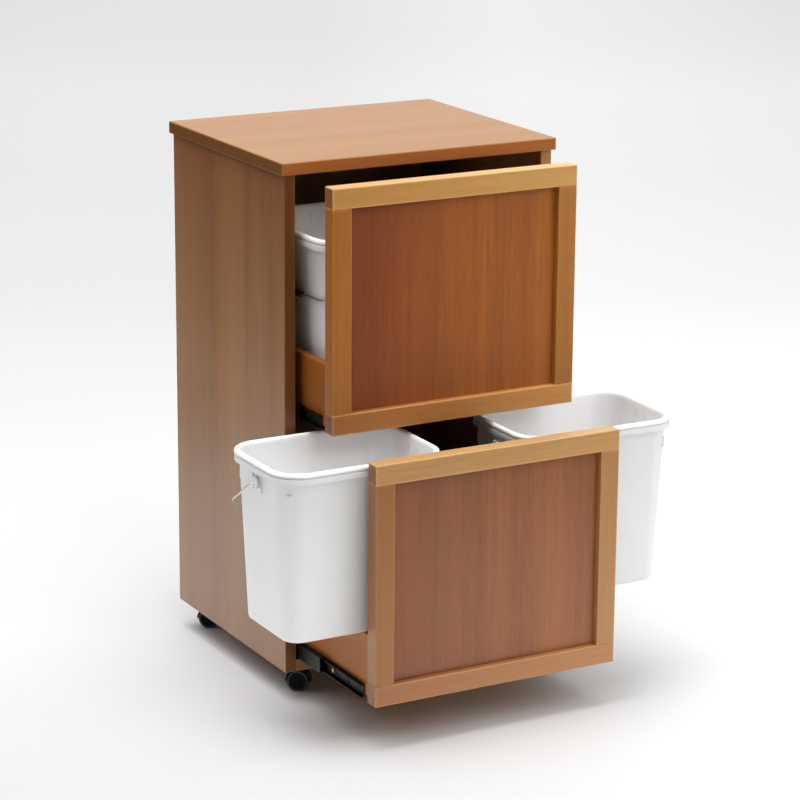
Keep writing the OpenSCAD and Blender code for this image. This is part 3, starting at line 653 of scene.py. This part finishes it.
def tube(path, radius, count=16):
    rings = []
    points = [Vector((x, y, 0)) for x, y in path]
    for i, p in enumerate(points):
        ahead = points[min(i + 1, len(points) - 1)] - points[max(i - 1, 0)]
        ahead.normalize()
        across = Vector((-ahead.y, ahead.x, 0))
        rings.append([p + (across * math.cos(2 * math.pi * j / count) +
                           Vector((0, 0, 1)) * math.sin(2 * math.pi * j / count)) * radius
                      for j in range(count)])
    return skin(rings)


def gripProfile(s):
    r, half = s["gripRadius"], s["grip"] / 2
    bore, low = pail["bore"], s["gripRadius"] - s["groove"]
    profile = [(bore, -half), (r - 0.0014, -half), (r - 0.0004, -half + 0.0006), (r, -half + 0.0018)]
    for i in range(s["ribs"]):
        h = s["firstRib"] + i * s["ribPitch"]
        profile += [(r, h - 0.0026), (low, h - 0.0014), (low, h + 0.0014), (r, h + 0.0026)]
    return profile + [(r, half - 0.0018), (r - 0.0004, half - 0.0006), (r - 0.0014, half), (bore, half),
                      (bore, -half)]


for name, place in pailPlaces.items():
    flip = -1 if name == "upper_right" else 1
    hung = place @ Matrix.Scale(flip, 4, (0, 1, 0)) @ \
        Matrix.Translation((0, 0, pail["height"] - pail["pivotDepth"])) @ \
        Matrix.Rotation(-handle["hang"], 4, "X")
    points, faces = tube(handlePath(handle), pail["wire"])
    wire = meshPiece("wire_" + name, moved(points, hung), faces, [wireSteel], name + "_handle", None, 60)
    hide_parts(name + "_handle")
    points, faces = turned(gripProfile(handle), 32, False)
    laid = hung @ Matrix.Translation((0, handle["reach"] + handle["step"], 0)) @ \
        Matrix.Rotation(math.pi / 2, 4, "Y")
    grip = meshPiece("grip_" + name, moved(points, laid), faces, [gripPlastic], name + "_handle", None, 40)
    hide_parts(name + "_grip")
print("handles:", len(pailPlaces))


# Castors

castor = {"wheel": 0.0165, "width": 0.008, "apart": 0.0065, "trail": 0.007, "hood": 0.0188, "hoodInner": 0.0173,
          "hoodHalf": 0.0105, "hoodArc": (-3, 186), "pocket": 0.00685, "bore": 0.00256, "segments": 64,
          "turn": math.radians(145), "side": 0.045, "end": 0.031}


# Points marked 1 give the grey ring, a painted highlight
def wheelProfile(s):
    r = s["wheel"]
    h = s["width"] / 2
    return [((0, -h + s["pocket"]), 0), ((s["bore"], -h + s["pocket"]), 0), ((s["bore"], -h), 0),
            ((r - 0.0088, -h), 0), ((r - 0.0084, -h + 0.0006), 0), ((r - 0.0046, -h + 0.0006), 0),
            ((r - 0.0042, -h), 0), ((r - 0.0014, -h), 0), ((r - 0.0004, -h + 0.0005), 0),
            ((r, -h + 0.0014), 0), ((r, h - 0.0014), 0),
            ((r - 0.0004, h - 0.0005), 0), ((r - 0.0014, h), 0), ((r - 0.0026, h), 1),
            ((r - 0.0030, h - 0.0003), 1), ((r - 0.0042, h - 0.0003), 0), ((r - 0.0050, h - 0.0007), 0),
            ((r - 0.0098, h - 0.0007), 0), ((r - 0.0102, h - 0.0002), 0), ((0.0022, h), 0),
            ((0, h), 0)]


def hoodShell(s):
    out, inn, half = s["hood"], s["hoodInner"], s["hoodHalf"]
    first, sweep = s["hoodArc"]
    section = [(inn, half), (out - 0.0007, half), (out - 0.0002, half - 0.0003), (out, half - 0.0009),
               (out, -half + 0.0009), (out - 0.0002, -half + 0.0003), (out - 0.0007, -half), (inn, -half),
               (inn, -0.002), (0.013, -0.002), (0.013, 0.002), (inn, 0.002)]
    rings = []
    for i in range(41):
        a = math.radians(first + sweep * i / 40)
        rings.append([(r * math.cos(a), y, r * math.sin(a)) for r, y in section])
    return skin(rings)


def castorParts(s):
    axle = Matrix.Translation((s["trail"], 0, s["wheel"]))
    parts = []
    shell = hoodShell(s)
    parts.append((moved(shell[0], axle), shell[1], 0))
    disc = turned([(0.0026, -0.002), (0.0135, -0.002), (0.0135, 0.002), (0.0026, 0.002), (0.0026, -0.002)],
                  48, False)
    parts.append((moved(disc[0], axle @ Matrix.Rotation(-math.pi / 2, 4, "X")), disc[1], 0))
    neck = turned([(0.0, 0.0335), (0.0088, 0.0335), (0.009, 0.0365), (0.009, 0.0398), (0.0084, 0.0412),
                   (0.0076, 0.0417), (0.004, 0.0417), (0.004, 0.0434), (0.0036, 0.0438), (0.0, 0.0438)], 40)
    parts.append((neck[0], neck[1], 0))
    cheek = turned([(0.0, 0.0205), (0.009, 0.0205), (0.009, 0.0336), (0.0, 0.0336)], 40)
    parts.append((cheek[0], cheek[1], 0))
    return parts


castorNames = (("front_left", -1, -1), ("front_right", 1, -1), ("back_left", -1, 1), ("back_right", 1, 1))
for name, sx, sy in castorNames:
    x = sx * (caseWidth / 2 - castor["side"])
    y = caseFront + (castor["end"] if sy < 0 else caseDepth - castor["end"])
    place = Matrix.Translation((x, y, 0)) @ Matrix.Rotation(castor["turn"], 4, "Z")
    points, faces, spots = gathered(castorParts(castor))
    hood = meshPiece("hood_" + name, points, faces, [blackPlastic], name + "_castor", spots, 35, place)
    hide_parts(name + "_housing")
    parts = []
    profile, segments = wheelProfile(castor), castor["segments"]
    for side in (-1, 1):
        points, faces = turned([p for p, spot in profile], segments)
        turn = Matrix.Translation((castor["trail"], side * castor["apart"], castor["wheel"])) @ \
            Matrix.Rotation(-side * math.pi / 2, 4, "X")
        ringSpots = [spot for p, spot in profile][1:]
        bands = [ringSpots[i // segments] for i in range(len(faces))]
        parts.append((moved(points, turn), faces, bands))
    points, faces, spots = gathered(parts)
    wheels = meshPiece("wheels_" + name, points, faces, [treadPlastic, wheelHighlightPlastic], name + "_wheels", spots, 35,
                       place)
    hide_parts(name + "_wheels")
    wear(name + "_axle", zincSteel)
print("castors:", len(castorNames))


# Floor, background and light

floorLook = {"tones": ((-9, 1.0), (-5, 0.88), (-2.5, 0.62), (-1.2, 0.52), (-0.5, 0.5), (-0.2, 0.55),
                       (0.1, 0.63), (0.6, 0.64), (1.4, 0.6), (2.4, 0.605), (3.8, 0.70), (5.3, 0.855),
                       (7.4, 0.97)),
             "reach": 9, "tint": (1, 1.004, 1.006), "near": rgb(236, 236, 235), "far": rgb(70, 68, 66),
             "rough": 0.8, "specular": 0.2, "lift": 1.13, "liftRun": (-0.3, 0.4), "glow": 0.72,
             "back": (-1.5, -7.0), "rim": (9.0, 14.0), "centre": (0.0, -0.05, 0.0), "paper": (0.9, 1.9),
             "half": 40}


# Pale tones and a far glow for camera rays, and a paper of limited size in a darker room for all other light
def makeFloor(s):
    mesh = bpy.data.meshes.new("floor")
    half, reach = s["half"], s["reach"]
    corners = [(-half, -half, 0), (half, -half, 0), (half, half, 0), (-half, half, 0)]
    mesh.from_pydata(corners, [], [(0, 1, 2, 3)])
    floor = bpy.data.objects.new("floor", mesh)
    scene.collection.objects.link(floor)
    material, tree, shader = newMaterial("floorPaint")
    place = tree.nodes.new("ShaderNodeTexCoord").outputs["Object"]
    heading = (math.sin(view["yaw"]), math.cos(view["yaw"]), 0)
    depth = addNode(tree, "ShaderNodeVectorMath", {0: place}, {1: heading},
                    operation="DOT_PRODUCT").outputs["Value"]
    span = addNode(tree, "ShaderNodeMapRange", {"Value": depth},
                   {"From Min": -reach, "From Max": reach}).outputs["Result"]
    seen = rampNode(tree, span, [((d + reach) / (2 * reach), tuple(tone * k for k in s["tint"]) + (1,))
                                 for d, tone in s["tones"]])
    across = addNode(tree, "ShaderNodeVectorMath", {0: place}, {1: (heading[1], -heading[0], 0)},
                     operation="DOT_PRODUCT").outputs["Value"]
    lift = addNode(tree, "ShaderNodeMapRange", {"Value": across},
                   {"From Min": s["liftRun"][0], "From Max": s["liftRun"][1], "To Min": 1.0,
                    "To Max": s["lift"]}).outputs["Result"]
    seen = mixColour(tree, 1.0, seen, lift, "MULTIPLY")
    away = addNode(tree, "ShaderNodeVectorMath", {0: place}, {1: s["centre"]}, operation="DISTANCE")
    room = mixColour(tree, stepNode(tree, away.outputs["Value"], *s["paper"]), s["near"], s["far"])
    watched = tree.nodes.new("ShaderNodeLightPath").outputs["Is Camera Ray"]
    tree.links.new(mixColour(tree, watched, room, seen), shader.inputs["Base Color"])
    beyond = mathNode(tree, "MAXIMUM", stepNode(tree, depth, *s["back"]),
                      stepNode(tree, away.outputs["Value"], *s["rim"]))
    glow = mathNode(tree, "MULTIPLY", beyond, s["glow"])
    shader.inputs["Emission Color"].default_value = (1, 1, 1, 1)
    tree.links.new(mathNode(tree, "MULTIPLY", glow, watched), shader.inputs["Emission Strength"])
    shader.inputs["Roughness"].default_value = s["rough"]
    shader.inputs["Specular IOR Level"].default_value = s["specular"]
    mesh.materials.append(material)


lights = {
    "above": {"place": (-0.5, 2.0, 8.1), "aim": (0, 0, 0.6), "size": 7.5, "power": 430},
    "aboveFront": {"place": (-1.0, -1.2, 8.1), "aim": (0, 0, 0.6), "size": 7.5, "power": 220},
    "overhead": {"place": (-0.6, -0.4, 6.0), "aim": (0, 0, 0.6), "size": 2.5, "power": 115},
    "left": {"place": (-4.5, 0.6, 6.5), "aim": (0, 0, 0.6), "size": 5.5, "power": 285},
    "front": {"place": (0.5, -6.0, 6.3), "aim": (0, 0, 0.4), "size": 5.0, "power": 212},
    "back": {"place": (4.0, 8.0, 3.0), "aim": (0, 0, 0.8), "size": 5.0, "power": 75},
    "frontRight": {"place": (1.7, -1.9, 1.9), "aim": (0, 0, 0.5), "size": 3.4, "power": 42},
    "right": {"place": (1.7, -0.9, 1.5), "aim": (0, -0.1, 0.5), "size": 2.4, "power": 9},
}
worldLook = {"seen": 0.8, "cast": 0.02}


def makeLights():
    for name, s in lights.items():
        data = bpy.data.lights.new(name, "AREA")
        data.shape = "SQUARE"
        data.size = s["size"]
        data.energy = s["power"]
        obj = bpy.data.objects.new(name, data)
        aim = Vector(s["aim"]) - Vector(s["place"])
        obj.matrix_world = Matrix.Translation(s["place"]) @ aim.to_track_quat("-Z", "Y").to_matrix().to_4x4()
        scene.collection.objects.link(obj)
    world = bpy.data.worlds.new("world")
    scene.world = world
    world.use_nodes = True
    tree = world.node_tree
    background = tree.nodes["Background"]
    background.inputs["Color"].default_value = (1, 1, 1, 1)
    watched = tree.nodes.new("ShaderNodeLightPath").outputs["Is Camera Ray"]
    extra = mathNode(tree, "MULTIPLY", watched, worldLook["seen"] - worldLook["cast"])
    tree.links.new(mathNode(tree, "ADD", extra, worldLook["cast"]), background.inputs["Strength"])


makeFloor(floorLook)
makeLights()
print("stage: floor and", len(lights), "lights")
